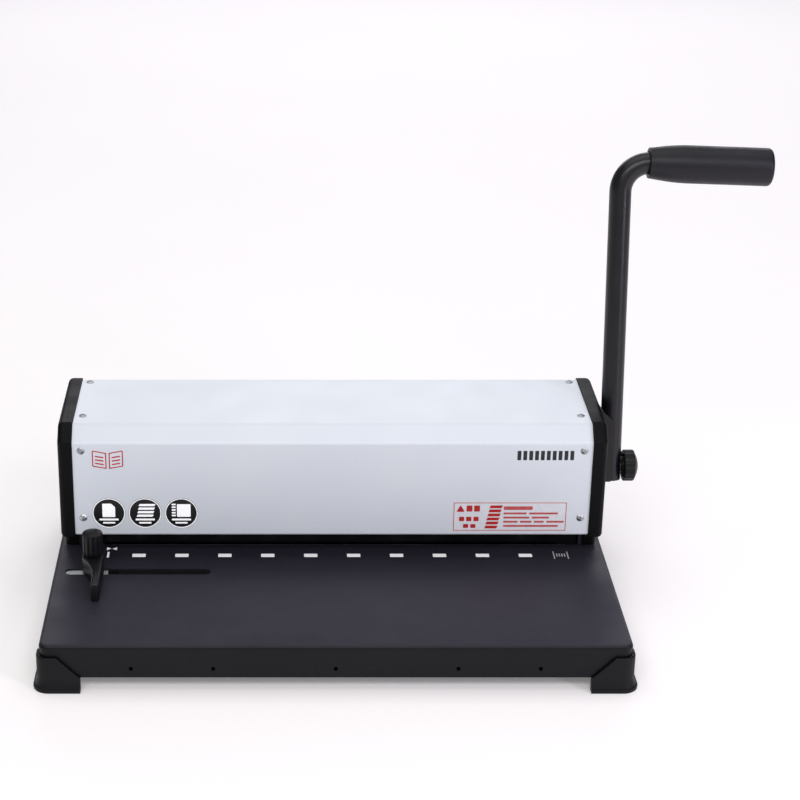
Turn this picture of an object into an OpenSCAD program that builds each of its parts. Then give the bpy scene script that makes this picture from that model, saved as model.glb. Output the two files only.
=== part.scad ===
// Manual comb binding punch: a sheet-steel work table with a folded cover at its rear, ten
// rectangular punches driven by a long side lever through a shaft, two pinions and two racks,
// a sliding side guide for the sheets and a chip drawer below the die.
// Origin: middle of the footprint, on the floor. +X to the lever, +Y to the rear, +Z up.

/* [Table] */
// Width of the work table
base_w = 382.8; // [380:0.2:400]
// Depth of the work table
base_d = 250; // [240:1:280]
// Height of the work surface above the floor
table_z = 32.6; // [32:0.2:36]
// Height of the folded rim of the table
rim_h = 23.3; // [22:0.1:24]
// Thickness of the table sheet
sheet = 1.6; // [1.2:0.1:2]
// Outer radius of the bend at the table's edge
bend_r = 2.6; // [2.2:0.1:4]
// Plan radius of the table's corners
corner_r = 6; // [5:0.5:9]

/* [Feet] */
// Height of the corner feet's upper edge
foot_h = 24.4; // [20:0.1:26]
// Length of a foot along each side of its corner
foot_len = 26.6; // [25:0.2:40]
// How far the feet stand out beyond the table
foot_wall = 2; // [1.5:0.1:3]
// Extra width of the rim at the bottom of each foot
foot_rim = 2.6; // [0.5:0.1:3]

/* [Cover] */
// Distance from the table's front edge to the cover's front panel
cover_setback = 121.3; // [115:0.1:125]
// Height of the front panel's lower edge
cover_bottom = 50.7; // [50.5:0.1:54]
// Height of the cover's top
cover_top = 130.5; // [128:0.1:139]
// Width of the sloped band between front and top
cover_chamfer = 10.2; // [8:0.2:12]
// Depth of the cover from front to rear
cover_d = 91.4; // [90:0.1:95]
// Thickness of the cover sheet
cover_sheet = 1.2; // [1:0.1:1.5]
// Thickness of the moulded side covers
side_t = 9.8; // [8:0.1:11]
// Gap between a side cover's outer face and the table's edge
side_inset = 3.9; // [3:0.1:5]
// How far the side covers stand proud of the folded cover
side_proud = 1.2; // [1:0.1:2]

/* [Drive] */
// Distance from the cover's front panel back to the shaft
shaft_back = 41.7; // [41.7:0.1:42.5]
// Height of the shaft above the floor
shaft_z = 85; // [84.6:0.1:86]
// Diameter of the shaft
shaft_d = 12; // [11:0.5:12]
// Gear module of pinions and racks
gear_module = 1; // [0.9:0.05:1]
// Number of teeth on each pinion
pinion_teeth = 16; // [16:1:17]
// Face width of pinions and racks
gear_w = 10; // [8:0.5:10]

/* [Punches] */
// Number of punches
punch_count = 10; // [8:1:10]
// Distance between neighbouring punches
punch_pitch = 30; // [28:0.5:30]
// Width of one punch along the row
punch_w = 8; // [5:0.5:8]
// Thickness of one punch
punch_t = 3; // [2.5:0.1:3.2]
// Height of the slit that takes the paper
paper_gap = 2.2; // [1.8:0.1:2.4]

/* [Lever] */
// Backward lean of the lever at rest, in degrees
lean = 10; // [0:1:12]
// Distance from the shaft's axis to the grip's axis
lever_len = 213.6; // [180:0.2:240]
// Diameter of the lever tube
tube_d = 15; // [14:0.5:16]
// Radius of the bend on the tube's centre line
tube_bend_r = 19.5; // [17:0.5:24]
// Angle between the two legs of the tube, in degrees past a right angle
droop = 2; // [0:0.1:4]
// Length of the grip
grip_len = 84; // [80:1:110]
// Largest diameter of the grip
grip_d = 26; // [24:0.5:30]

/* [Side guide] */
// Distance from the table's front edge to the guide slot
slot_setback = 102.3; // [98:0.1:103]
// Width of the guide slot
slot_w = 9; // [8:0.5:10]
// Length of the guide slot
slot_len = 100.5; // [90:0.5:110]
// Diameter of the clamping knob
knob_d = 14.1; // [13:0.1:15]

/* [Hidden] */
$fn = 64;
eps = 0.01;            // overlap of joined solids and overshoot of cuts
fit = 0.05;            // radial clearance of running fits
snug = 0.02;           // radial clearance of pressed-in pieces
loose = 0.1;           // radial clearance around screw shanks

// Table and feet
front_y = -base_d / 2;
half_w = base_w / 2;
rim_z = table_z - rim_h;           // lower edge of the table's rim
under_z = table_z - sheet;         // underside of the table sheet
flange_w = 12;                     // return flange at the rim's lower edge
foot_screw_x = half_w - 15.4;
foot_screw_in = 8;                 // from the table's edge to the foot screws
foot_rim_h = 2.8;                  // height of the widened rim under each foot
rim_hole_x = [-132, -79, 0, 79, 132];
rim_hole_r = 1.5;
lip_h = 3.6;                       // height of the table's lip above the set-back rim
lip_step = 0.5;                    // how far the rim stands back under the lip

// Cover
cover_y = front_y + cover_setback;
cover_back_y = cover_y + cover_d;
side_out_x = half_w - side_inset;
side_in_x = side_out_x - side_t;
cover_half = side_in_x - 0.2;
mitre = cover_sheet * (sqrt(2) - 1);   // shift of the folds' inner corners
side_front_y = cover_y - 1.3;
side_back_y = cover_back_y + 7.3;
side_top_z = cover_top + side_proud + 0.4;
side_chamfer = cover_chamfer + 0.2;
throat_y = cover_y + 20.7;         // back of the paper throat
throat_z = cover_bottom - 1.1;     // ceiling of the throat notch in the side covers

// Frame plates
plate_t = 3;
plate_x = side_in_x - 0.2 - plate_t;   // inner face of a frame plate
plate_front_y = cover_y + cover_sheet;
plate_back_y = cover_back_y - 2 * cover_sheet - 0.2;
plate_top_z = cover_top - cover_sheet;
plate_low_z = cover_bottom + cover_sheet + 0.5;
tab_in = 11.5;                     // how far the folded tabs reach inwards
screw_x = side_in_x - 6.2;         // cover screws, from the middle
cover_screw_z = [cover_bottom + 13.6, cover_top - 15.5];
cover_screw_y = [cover_y + 24.3, cover_back_y - 6.4];
rear_screw_z = [70, 112];
frame_screw_y = [cover_y + 51, cover_y + 77];
frame_screw_x = plate_x - 7;

// Punch unit
punch_y = cover_y + 26.7;
unit_front_y = throat_y + 0.7;
unit_back_y = unit_front_y + 15;
unit_half = plate_x - 1.5;
die_t = 10;
guide_z = table_z + paper_gap;     // underside of the punch guide plate
guide_t = 11.8;
guide_top_z = guide_z + guide_t;
window_half = unit_half - 8;       // half length of the table's die window
stop_y = punch_y + 4.5;            // paper stop behind the punches
mouth_half = unit_half - 15;       // half width of the paper slit
slot_fit = 0.15;                   // clearance around a punch in its slots
die_bolt_y = [unit_front_y + 3.6, unit_back_y - 3.6];
die_bolt_x = unit_half - 3.5;
die_bolt_r = 2;
punch_x = [for (i = [0:punch_count - 1]) (i - (punch_count - 1) / 2) * punch_pitch];

// Drive
shaft_y = cover_y + shaft_back;
pitch_r = gear_module * pinion_teeth / 2;
pressure = 20;
backlash = 0.16;
gear_x = 150;
rack_half = gear_w / 2 - 0.2;      // half a rack's width, clear of the pinion's hub
hub_w = 8;
beam_z = guide_top_z + 18;         // underside of the press beam at rest
beam_t = 11;
beam_top_z = beam_z + beam_t;
beam_front_y = unit_front_y + 0.8;
beam_back_y = beam_front_y + 10.4;
beam_half = plate_x - 6.5;
pitch_y = shaft_y - pitch_r;       // pitch line of the racks
rack_back_y = pitch_y - 9;
rack_first = -2;
rack_last = 6;
rack_top_z = shaft_z + (rack_last + 0.7) * PI * gear_module;
post_x = gear_x + 11;
post_y = unit_front_y + 7.5;
post_r = 4;
keeper_t = 2.5;
keeper_half = gear_x - 9;
keeper_screw_x = [-120, -60, 0, 60, 120];
bush_r = 8;
ring_x = plate_x + plate_t + 0.25;
socket_in_x = side_out_x + 0.4;    // inner face of the socket's web
socket_t = 1.6;
tube_x = socket_in_x + socket_t + tube_d / 2;
tube_low = 9.6;                    // tube below the shaft's axis
socket_up = 42;                    // socket above the shaft's axis
stud_r = 4;
knob_x = tube_x + tube_d / 2 + 0.3;
lock_knob_r = 11.1;
grip_x = tube_x + 18.3;

// Places of the side covers' screws in Y and Z
side_screws = [[throat_y - 4, cover_bottom + 13.2], [plate_back_y - 14, table_z + 22],
    [shaft_y + 8, plate_top_z - 14]];

// Return springs
spring_r = 5.3;
spring_wire = 0.6;
spring_turns = 5;
spring_steps = 16;

// Badges and label on the front panel
badge_r = 11.4;
badge_x = -153.8;
badge_pitch = 25;
badge_z = cover_bottom + 17.3;
film_t = 0.3;
label_x = [83.4, 162.2];
label_z = [cover_bottom + 3.2, cover_bottom + 25.8];

// Side guide
slot_y = front_y + slot_setback;
slot_x = -half_w + 7.8;            // left end of the slot
guide_x = -half_w + 27.6;          // axis of the guide's knob at rest
guide_h = 13.2;
guide_low_z = table_z + 0.1;
guide_stud_r = 3;
slide_plate_t = 2;

// Chip drawer
drawer_half = 150;
drawer_front_y = throat_y - 9;
drawer_back_y = base_d / 2;
drawer_z = rim_z + 1.6;
drawer_h = 10.4;
drawer_wall = 1.5;
face_half = drawer_half + 6;

// ---------- helpers ----------

// A profile drawn in Y and Z, extruded along X from x0 to x1.
module along_x(x0, x1) {
    translate([x0, 0, 0]) rotate([90, 0, 90]) linear_extrude(x1 - x0) children();
}

// A profile drawn in X and Z, extruded along Y from y0 to y1.
module along_y(y0, y1) {
    translate([0, y1, 0]) rotate([90, 0, 0]) linear_extrude(y1 - y0) children();
}

// A box between two corners.
module block(low, high) {
    translate(low) cube(high - low);
}

// Its children and their mirror image across the middle plane.
module both_sides() {
    children();
    mirror([1, 0, 0]) children();
}

// A rod of radius r from point p towards an axis, over length l.
module rod_x(p, r, l) { translate(p) rotate([0, 90, 0]) cylinder(h = l, r = r); }
module rod_y(p, r, l) { translate(p) rotate([-90, 0, 0]) cylinder(h = l, r = r); }
module rod_z(p, r, l) { translate(p) cylinder(h = l, r = r); }

// A pan-head screw with its head's seat at the origin, its shank down -Z and a crossed recess.
module pan_screw(r, l, head_r, head_h) {
    difference() {
        union() {
            translate([0, 0, -l]) cylinder(h = l + eps, r = r);
            rotate_extrude() intersection() {
                translate([0, -head_r * 1.6 + head_h]) circle(r = head_r * 1.6);
                square([head_r, head_h]);
            }
        }
        for (a = [0, 90])
            rotate([0, 0, a])
                translate([-head_r * 0.55, -head_r * 0.12, head_h * 0.35])
                    cube([head_r * 1.1, head_r * 0.24, head_h]);
    }
}

// A rectangle with rounded corners, centred on the origin.
module round_rect(w, d, r) {
    for (sx = [-1, 1], sy = [-1, 1]) translate([sx * (w / 2 - r), sy * (d / 2 - r)]) circle(r = r);
    square([w - 2 * r, d], center = true);
    square([w, d - 2 * r], center = true);
}

// ---------- table ----------

// Section of the table's folded edge; x runs outwards from the corner's plan centre.
module edge_section() {
    translate([corner_r - sheet - lip_step, rim_z]) square([sheet, rim_h - bend_r]);
    translate([corner_r - sheet - eps, table_z - lip_h]) square([sheet + eps, lip_h - bend_r]);
    translate([0, under_z]) square([corner_r - bend_r, sheet]);
    translate([corner_r - bend_r, table_z - bend_r]) intersection() {
        difference() {
            circle(r = bend_r);
            circle(r = bend_r - sheet);
        }
        square(bend_r);
    }
}

module folded_edges() {
    flat_w = base_w - 2 * corner_r;
    flat_d = base_d - 2 * corner_r;
    for (s = [0, 180]) rotate([0, 0, s]) {
        translate([half_w - corner_r, flat_d / 2, 0]) rotate([90, 0, 0])
            linear_extrude(flat_d) edge_section();
        translate([-flat_w / 2, base_d / 2 - corner_r, 0]) rotate([90, 0, 90])
            linear_extrude(flat_w) edge_section();
    }
    for (sx = [0, 1], sy = [0, 1])
        mirror([sx, 0, 0]) mirror([0, sy, 0])
            translate([flat_w / 2, flat_d / 2, 0]) rotate_extrude(angle = 90) edge_section();
    translate([-flat_w / 2, -flat_d / 2, under_z]) cube([flat_w, flat_d, sheet]);
}

module return_flanges() {
    y = base_d / 2 - sheet;
    x = half_w - corner_r - 2;
    block([-x, -y - eps, rim_z], [x, -y + flange_w, rim_z + sheet]);
    both_sides() block([face_half + 3, y - flange_w, rim_z], [x, y + eps, rim_z + sheet]);
}

module guide_slot() {
    translate([0, slot_y, under_z - 1]) linear_extrude(sheet + 2) {
        for (x = [slot_x + slot_w / 2, slot_x + slot_len - slot_w / 2])
            translate([x, 0]) circle(d = slot_w);
        translate([slot_x + slot_w / 2, -slot_w / 2]) square([slot_len - slot_w, slot_w]);
    }
}

module base_tray() {
    color("#35333a") difference() {
        union() {
            folded_edges();
            return_flanges();
        }
        block([-window_half - 0.3, unit_front_y - 0.3, under_z - 1],
            [window_half + 0.3, unit_back_y + 0.3, table_z + 1]);
        guide_slot();
        for (x = rim_hole_x) rod_y([x, front_y - 1, rim_z + 6.3], rim_hole_r, sheet + 2);
        block([-drawer_half - 1, base_d / 2 - 4, rim_z - 1],
            [drawer_half + 1, base_d / 2 + 1, rim_z + 14]);
        for (sx = [-1, 1], sy = [-1, 1])
            rod_z([sx * foot_screw_x, sy * (base_d / 2 - foot_screw_in), rim_z - 1],
                2 + loose, sheet + 2);
        for (sx = [-1, 1], y = frame_screw_y)
            rod_z([sx * frame_screw_x, y, under_z - 1], 2 + loose, sheet + 2);
        for (sx = [-1, 1], y = die_bolt_y)
            rod_z([sx * die_bolt_x, y, under_z - 1], die_bolt_r + loose, sheet + 2);
    }
}

// ---------- feet ----------

// A moulded foot around the corner at +X, +Y.
module corner_foot() {
    x = half_w + foot_wall;
    y = base_d / 2 + foot_wall;
    r = corner_r + foot_wall;
    low = foot_len + foot_wall;
    rise = 15;                     // horizontal run of the sloped upper edges
    skirt = foot_wall + 1.5;       // wall thickness below the table
    open = 6;                      // from the foot's ends to the block behind the skirt
    difference() {
        union() {
            linear_extrude(foot_h) intersection() {
                round_rect(2 * x, 2 * y, r);
                translate([x - low, y - low]) square(low);
            }
            linear_extrude(foot_rim_h) intersection() {
                round_rect(2 * (x + foot_rim), 2 * (y + foot_rim), r + foot_rim);
                translate([x - low, y - low]) square(low + foot_rim);
            }
        }
        translate([0, 0, rim_z]) linear_extrude(foot_h)
            round_rect(base_w + 2 * fit, base_d + 2 * fit, corner_r + fit);
        along_y(base_d / 2 - 1, y + 4) polygon([[x - low - eps, rim_z], [x - low + rise, foot_h + eps],
            [x - low - eps, foot_h + eps]]);
        along_x(half_w - 1, x + 4) polygon([[y - low - eps, rim_z], [y - low + rise, foot_h + eps],
            [y - low - eps, foot_h + eps]]);
        block([x - low - 1, y - low - 1, -1], [x - low + open, y - skirt, rim_z + 1]);
        block([x - low - 1, y - low - 1, -1], [x - skirt, y - low + open, rim_z + 1]);
        rod_z([foot_screw_x, base_d / 2 - foot_screw_in, -1], 2 + loose, rim_z + 2);
        rod_z([foot_screw_x, base_d / 2 - foot_screw_in, -1], 4.4, 5);
    }
}

module front_left_foot() color("#242428") mirror([1, 0, 0]) mirror([0, 1, 0]) corner_foot();
module front_right_foot() color("#242428") mirror([0, 1, 0]) corner_foot();
module rear_left_foot() color("#242428") mirror([1, 0, 0]) corner_foot();
module rear_right_foot() color("#242428") corner_foot();

module foot_screws() {
    color("silver") for (sx = [-1, 1], sy = [-1, 1])
        translate([sx * foot_screw_x, sy * (base_d / 2 - foot_screw_in), 4])
            rotate([180, 0, 0]) pan_screw(2, 12, 4, 2.4);
}

// ---------- frame ----------

// Outline of a frame plate in Y and Z.
module plate_outline() {
    c = cover_chamfer + 0.6;
    polygon([[throat_y + 1, table_z], [throat_y + 1, plate_low_z], [plate_front_y, plate_low_z],
        [plate_front_y, plate_top_z - c], [plate_front_y + c, plate_top_z],
        [plate_back_y, plate_top_z], [plate_back_y, table_z]]);
}

module frame_plate() {
    tab_x = plate_x - tab_in;
    difference() {
        union() {
            along_x(plate_x, plate_x + plate_t) plate_outline();
            block([tab_x, plate_front_y, plate_low_z + 3],
                [plate_x + eps, plate_front_y + plate_t, plate_top_z - cover_chamfer - 1]);
            block([tab_x, plate_front_y + cover_chamfer + 2, plate_top_z - plate_t],
                [plate_x + eps, plate_back_y, plate_top_z]);
            block([tab_x, plate_back_y - plate_t, table_z + 26],
                [plate_x + eps, plate_back_y, plate_top_z - 6]);
            block([tab_x - 3, frame_screw_y[0] - 8, table_z],
                [plate_x + eps, frame_screw_y[1] + 8, table_z + plate_t]);
        }
        rod_x([plate_x - 1, shaft_y, shaft_z], bush_r + snug, plate_t + 2);
        for (z = cover_screw_z) rod_y([screw_x, plate_front_y - 1, z], 2 + loose, plate_t + 2);
        for (y = cover_screw_y)
            rod_z([screw_x, y, plate_top_z - plate_t - 1], 2 + loose, plate_t + 2);
        for (z = rear_screw_z)
            rod_y([screw_x, plate_back_y - plate_t - 1, z], 2 + loose, plate_t + 2);
        for (y = frame_screw_y) rod_z([frame_screw_x, y, table_z - 1], 2 + loose, plate_t + 2);
        for (p = side_screws) rod_x([plate_x - 1, p[0], p[1]], 2 + loose, plate_t + 2);
    }
}

module right_frame_plate() color("#26262a") frame_plate();
module left_frame_plate() color("#26262a") mirror([1, 0, 0]) frame_plate();

module frame_screws() {
    color("silver") for (sx = [-1, 1], y = frame_screw_y)
        translate([sx * frame_screw_x, y, table_z + plate_t]) pan_screw(2, 9, 3.8, 2.3);
}

module bush() {
    rod_x([plate_x - 1.5, shaft_y, shaft_z], bush_r + 3, 1.5);
    rod_x([plate_x - eps, shaft_y, shaft_z], bush_r, plate_t + eps);
}

module bored_bush() {
    difference() {
        bush();
        rod_x([plate_x - 3, shaft_y, shaft_z], shaft_d / 2 + fit, plate_t + 5);
    }
}

module right_bush() color("#b58a45") bored_bush();
module left_bush() color("#b58a45") mirror([1, 0, 0]) bored_bush();

// ---------- covers ----------

// Outline of a side cover in Y and Z, drawn inwards by the given inset.
module side_outline(inset) {
    y0 = side_front_y + inset;
    y1 = side_back_y - inset;
    z1 = side_top_z - inset;
    c = side_chamfer - inset * 0.4;
    r = 12 - inset;
    polygon([[y0, throat_z + inset], [y0, z1 - c], [y0 + c, z1], [y1 - r, z1],
        [y1 - r, table_z + inset], [throat_y + inset, table_z + inset],
        [throat_y + inset, throat_z + inset]]);
    translate([y1 - r, z1 - r]) circle(r = r);
    translate([y1 - r - eps, table_z + inset]) square([r + eps, z1 - r - table_z - inset]);
}

module side_cover() {
    wall = 3;
    difference() {
        union() {
            difference() {
                along_x(side_in_x, side_out_x) side_outline(0);
                along_x(side_in_x - 1, side_out_x - wall) side_outline(wall);
            }
            for (p = side_screws) rod_x([side_in_x, p[0], p[1]], 5, side_t - wall + eps);
        }
        for (p = side_screws) {
            rod_x([side_in_x - 1, p[0], p[1]], 2 + loose, side_t + 2);
            rod_x([side_out_x - 3, p[0], p[1]], 4.2, 4);
        }
    }
}

module right_side_cover() {
    color("#1d1d21") difference() {
        side_cover();
        rod_x([side_in_x - 1, shaft_y, shaft_z], shaft_d / 2 + 2, side_t + 2);
    }
}

module left_side_cover() color("#1d1d21") mirror([1, 0, 0]) side_cover();

module side_cover_screws() {
    color("#3a3a3e") both_sides() for (p = side_screws)
        translate([side_out_x - 3, p[0], p[1]]) rotate([0, 90, 0]) pan_screw(2, 12, 3.9, 2.3);
}

// Section of the folded cover in Y and Z.
module cover_section() {
    t = cover_sheet;
    y0 = cover_y;
    z1 = cover_top;
    c = cover_chamfer;
    hem = 6;
    rear_z = cover_top - 11.5;
    polygon([[y0, cover_bottom], [y0, z1 - c], [y0 + c, z1], [cover_back_y, z1],
        [cover_back_y, rear_z], [cover_back_y - t, rear_z], [cover_back_y - t, z1 - t],
        [y0 + c + mitre, z1 - t], [y0 + t, z1 - c - mitre], [y0 + t, cover_bottom + t],
        [y0 + hem, cover_bottom + t], [y0 + hem, cover_bottom]]);
}

module top_cover() {
    color("#e4e8ec") difference() {
        along_x(-cover_half, cover_half) cover_section();
        both_sides() {
            for (z = cover_screw_z) rod_y([screw_x, cover_y - 1, z], 2 + loose, cover_sheet + 1.5);
            for (y = cover_screw_y)
                rod_z([screw_x, y, cover_top - cover_sheet - 0.5], 2 + loose, cover_sheet + 2);
        }
    }
}

module cover_screws() {
    color("silver") both_sides() {
        for (z = cover_screw_z)
            translate([screw_x, cover_y, z]) rotate([90, 0, 0]) pan_screw(2, 7, 2.6, 1.2);
        for (y = cover_screw_y) translate([screw_x, y, cover_top]) pan_screw(2, 7, 2.6, 1.2);
    }
}

module rear_panel() {
    y = plate_back_y;
    color("#2a292e") difference() {
        block([-cover_half + 0.5, y, table_z + 0.2], [cover_half - 0.5, y + cover_sheet, plate_top_z]);
        for (sx = [-1, 1], z = rear_screw_z)
            rod_y([sx * screw_x, y - 1, z], 2 + loose, cover_sheet + 2);
    }
}

module rear_panel_screws() {
    color("silver") for (sx = [-1, 1], z = rear_screw_z)
        translate([sx * screw_x, plate_back_y + cover_sheet, z])
            rotate([-90, 0, 0]) pan_screw(2, 7, 3.4, 1.8);
}

module front_badges() {
    color("#151517") for (i = [0:2])
        rod_y([badge_x + badge_pitch * i, cover_y - film_t, badge_z], badge_r, film_t);
}

module info_label() {
    color("#c43b3b") block([label_x[0], cover_y - film_t, label_z[0]], [label_x[1], cover_y, label_z[1]]);
}

// ---------- punch unit ----------

// Slots for all punches, widened by the clearance, from z0 to z1.
module punch_slots(z0, z1, gap) {
    for (x = punch_x)
        block([x - punch_w / 2 - gap, punch_y - punch_t / 2 - gap, z0],
            [x + punch_w / 2 + gap, punch_y + punch_t / 2 + gap, z1]);
}

module die_bolt_holes(z0, z1) {
    for (sx = [-1, 1], y = die_bolt_y)
        rod_z([sx * die_bolt_x, y, z0], die_bolt_r + loose, z1 - z0);
}

module die_plate() {
    color("#6f7277") difference() {
        union() {
            block([-window_half, unit_front_y, table_z - die_t], [window_half, unit_back_y, table_z]);
            block([-unit_half, unit_front_y, table_z - die_t], [unit_half, unit_back_y, under_z]);
        }
        punch_slots(table_z - die_t - 1, table_z + 1, slot_fit);
        punch_slots(table_z - die_t - 1, table_z - 4, slot_fit + 0.5);
        die_bolt_holes(table_z - die_t - 1, table_z);
    }
}

module paper_gap_shim() {
    color("#34353a") difference() {
        block([-unit_half, unit_front_y, table_z], [unit_half, unit_back_y, guide_z]);
        block([-mouth_half, unit_front_y - 1, table_z - 1], [mouth_half, stop_y, guide_z + 1]);
        die_bolt_holes(table_z - 1, guide_z + 1);
    }
}

module punch_guide_plate() {
    color("#232327") difference() {
        block([-unit_half, unit_front_y, guide_z], [unit_half, unit_back_y, guide_top_z]);
        punch_slots(guide_z - 1, guide_top_z + 1, slot_fit);
        die_bolt_holes(guide_z - 1, guide_top_z + 1);
        both_sides() rod_z([post_x, post_y, guide_top_z - 8], post_r + snug, 9);
    }
}

module die_bolts() {
    color("#4a4c50") for (sx = [-1, 1], y = die_bolt_y)
        translate([sx * die_bolt_x, y, guide_top_z]) {
            translate([0, 0, -22]) cylinder(h = 22 + eps, r = die_bolt_r);
            difference() {
                cylinder(h = 3.6, r = 3);
                translate([0, 0, 1.6]) cylinder(h = 4, r = 1.6, $fn = 6);
            }
        }
}

module guide_posts() {
    color("#b9bcc1") both_sides() {
        rod_z([post_x, post_y, guide_top_z - 8], post_r, beam_top_z + 0.3 - guide_top_z + 8 + eps);
        rod_z([post_x, post_y, beam_top_z + 0.3], post_r + 1.5, 3.5);
    }
}

// Helical return springs around the posts, as swept tubes of eight sides.
function helix(t, r, h) = [r * cos(360 * t), r * sin(360 * t), h * t / spring_turns];

module spring(h) {
    rings = spring_turns * spring_steps;
    sides = 8;
    points = [for (i = [0:rings]) let (c = helix(i / spring_steps, spring_r, h))
        for (j = [0:sides - 1]) let (a = 360 * i / spring_steps, b = 360 * j / sides)
            c + spring_wire * [cos(b) * cos(a), cos(b) * sin(a), sin(b)]];
    walls = [for (i = [0:rings - 1], j = [0:sides - 1]) let (k = (j + 1) % sides)
        [i * sides + j, (i + 1) * sides + j, (i + 1) * sides + k, i * sides + k]];
    first = [for (j = [0:sides - 1]) j];
    last = [for (j = [sides - 1:-1:0]) rings * sides + j];
    polyhedron(points, concat(walls, [first], [last]));
}

module return_springs() {
    color("#c9ccd0") for (sx = [-1, 1])
        translate([sx * post_x, post_y, guide_top_z + spring_wire + 0.1])
            spring(beam_z - guide_top_z - 2 * spring_wire - 0.2);
}

// ---------- shaft, pinions and racks ----------

function involute(a) = tan(a) * 180 / PI - a;

// Half the angle of a pinion tooth at radius r.
function tooth_half(r, base_r) = 90 / pinion_teeth - backlash / pitch_r * 45 / PI
    + involute(pressure) - involute(acos(min(1, base_r / r)));

module pinion_outline() {
    base_r = pitch_r * cos(pressure);
    tip_r = pitch_r + gear_module;
    root_r = pitch_r - 1.25 * gear_module;
    steps = 4;
    flank = [for (i = [0:steps]) base_r + (tip_r - base_r) * i / steps];
    polygon([for (k = [0:pinion_teeth - 1]) let (m = (k + 0.5) * 360 / pinion_teeth) each concat(
        [root_r * [cos(m - tooth_half(base_r, base_r)), sin(m - tooth_half(base_r, base_r))]],
        [for (r = flank) r * [cos(m - tooth_half(r, base_r)), sin(m - tooth_half(r, base_r))]],
        [for (i = [steps:-1:0]) let (r = flank[i])
            r * [cos(m + tooth_half(r, base_r)), sin(m + tooth_half(r, base_r))]],
        [root_r * [cos(m + tooth_half(base_r, base_r)), sin(m + tooth_half(base_r, base_r))]])]);
}

module pinion() {
    difference() {
        translate([gear_x - gear_w / 2, shaft_y, shaft_z]) rotate([90, 0, 90]) {
            linear_extrude(gear_w) pinion_outline();
            translate([0, 0, -hub_w]) cylinder(h = hub_w + eps, r = pitch_r - 0.5);
        }
        rod_x([gear_x - 2 * gear_w, shaft_y, shaft_z], shaft_d / 2 + snug, 4 * gear_w);
        pinion_pin(1.5);
    }
}

// The cross pin through one pinion's hub and the shaft.
module pinion_pin(r) {
    rod_z([gear_x - gear_w / 2 - hub_w / 2, shaft_y, shaft_z - pitch_r + 0.5], r, 2 * pitch_r - 1);
}

module right_pinion() color("#7d8085") pinion();
module left_pinion() color("#7d8085") mirror([1, 0, 0]) pinion();
module pinion_pins() color("#b9bcc1") both_sides() pinion_pin(1.5 - snug);

module rack() {
    p = PI * gear_module;
    tip = p / 4 - backlash / 2 - gear_module * tan(pressure);
    root = p / 4 - backlash / 2 + 1.25 * gear_module * tan(pressure);
    y_tip = pitch_y + gear_module;
    y_root = pitch_y - 1.25 * gear_module;
    difference() {
        along_x(gear_x - rack_half, gear_x + rack_half) polygon(concat(
            [[rack_back_y, beam_z], [y_root, beam_z]],
            [for (k = [rack_first:rack_last]) let (z = shaft_z + k * p)
                each [[y_root, z - root], [y_tip, z - tip], [y_tip, z + tip], [y_root, z + root]]],
            [[y_root, rack_top_z], [rack_back_y, rack_top_z]]));
        rod_y([gear_x, rack_back_y - 1, beam_z + beam_t / 2], 2 + loose, 6);
    }
}

module right_rack() color("#7d8085") rack();
module left_rack() color("#7d8085") mirror([1, 0, 0]) rack();

module rack_screws() {
    color("#4a4c50") both_sides()
        translate([gear_x, beam_front_y + 1.4, beam_z + beam_t / 2])
            rotate([90, 0, 0]) pan_screw(2, rack_back_y - beam_front_y + 2.4, 3.4, 1.3);
}

module press_beam() {
    color("#5d6065") difference() {
        block([-beam_half, beam_front_y, beam_z], [beam_half, beam_back_y, beam_top_z]);
        punch_slots(beam_z - 1, beam_top_z + 1, 0.05);
        both_sides() {
            block([gear_x - rack_half - 0.05, rack_back_y, beam_z - 1],
                [gear_x + rack_half + 0.05, beam_back_y + 1, beam_top_z + 1]);
            rod_y([gear_x, beam_front_y - 1, beam_z + beam_t / 2], 2 + loose, 6);
            rod_y([gear_x, beam_front_y - 1, beam_z + beam_t / 2], 3.6, 2.4);
            rod_z([post_x, post_y, beam_z - 1], post_r + fit, beam_t + 2);
        }
        for (x = keeper_screw_x) rod_z([x, beam_front_y + 5, beam_top_z - 7], 1.5 + loose, 8);
    }
}

module punch_pins() {
    low = guide_z + 1;
    color("#a9acb1") for (x = punch_x)
        block([x - punch_w / 2, punch_y - punch_t / 2, low],
            [x + punch_w / 2, punch_y + punch_t / 2, beam_top_z]);
}

module pin_keeper() {
    color("#7b7e83") difference() {
        block([-keeper_half, beam_front_y + 0.4, beam_top_z],
            [keeper_half, beam_back_y - 0.4, beam_top_z + keeper_t]);
        for (x = keeper_screw_x)
            rod_z([x, beam_front_y + 5, beam_top_z - 1], 1.5 + loose, keeper_t + 2);
    }
}

module keeper_screws() {
    color("silver") for (x = keeper_screw_x)
        translate([x, beam_front_y + 5, beam_top_z + keeper_t]) pan_screw(1.5, 8.5, 2.8, 1.8);
}

module main_shaft() {
    left = -(ring_x + 3);
    color("#a6a9ae") difference() {
        rod_x([left, shaft_y, shaft_z], shaft_d / 2, socket_in_x - left);
        both_sides() difference() {
            rod_x([ring_x, shaft_y, shaft_z], shaft_d, 1.1);
            rod_x([ring_x - 1, shaft_y, shaft_z], shaft_d / 2 - 0.8, 4);
        }
        rod_x([socket_in_x - 18, shaft_y, shaft_z], stud_r + fit, 19);
        both_sides() pinion_pin(1.5);
    }
}

module retaining_rings() {
    color("#3f4145") both_sides() difference() {
        rod_x([ring_x + 0.05, shaft_y, shaft_z], 8.6, 1);
        rod_x([ring_x - 1, shaft_y, shaft_z], shaft_d / 2 - 0.75, 3);
        block([ring_x - 1, shaft_y - 3, shaft_z - 10], [ring_x + 3, shaft_y + 3, shaft_z]);
    }
}

// ---------- lever ----------

// Places its children in the lever's own frame: origin on the shaft's axis, +Z up the tube.
module on_lever() {
    translate([0, shaft_y, shaft_z]) rotate([-lean, 0, 0]) children();
}

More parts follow.
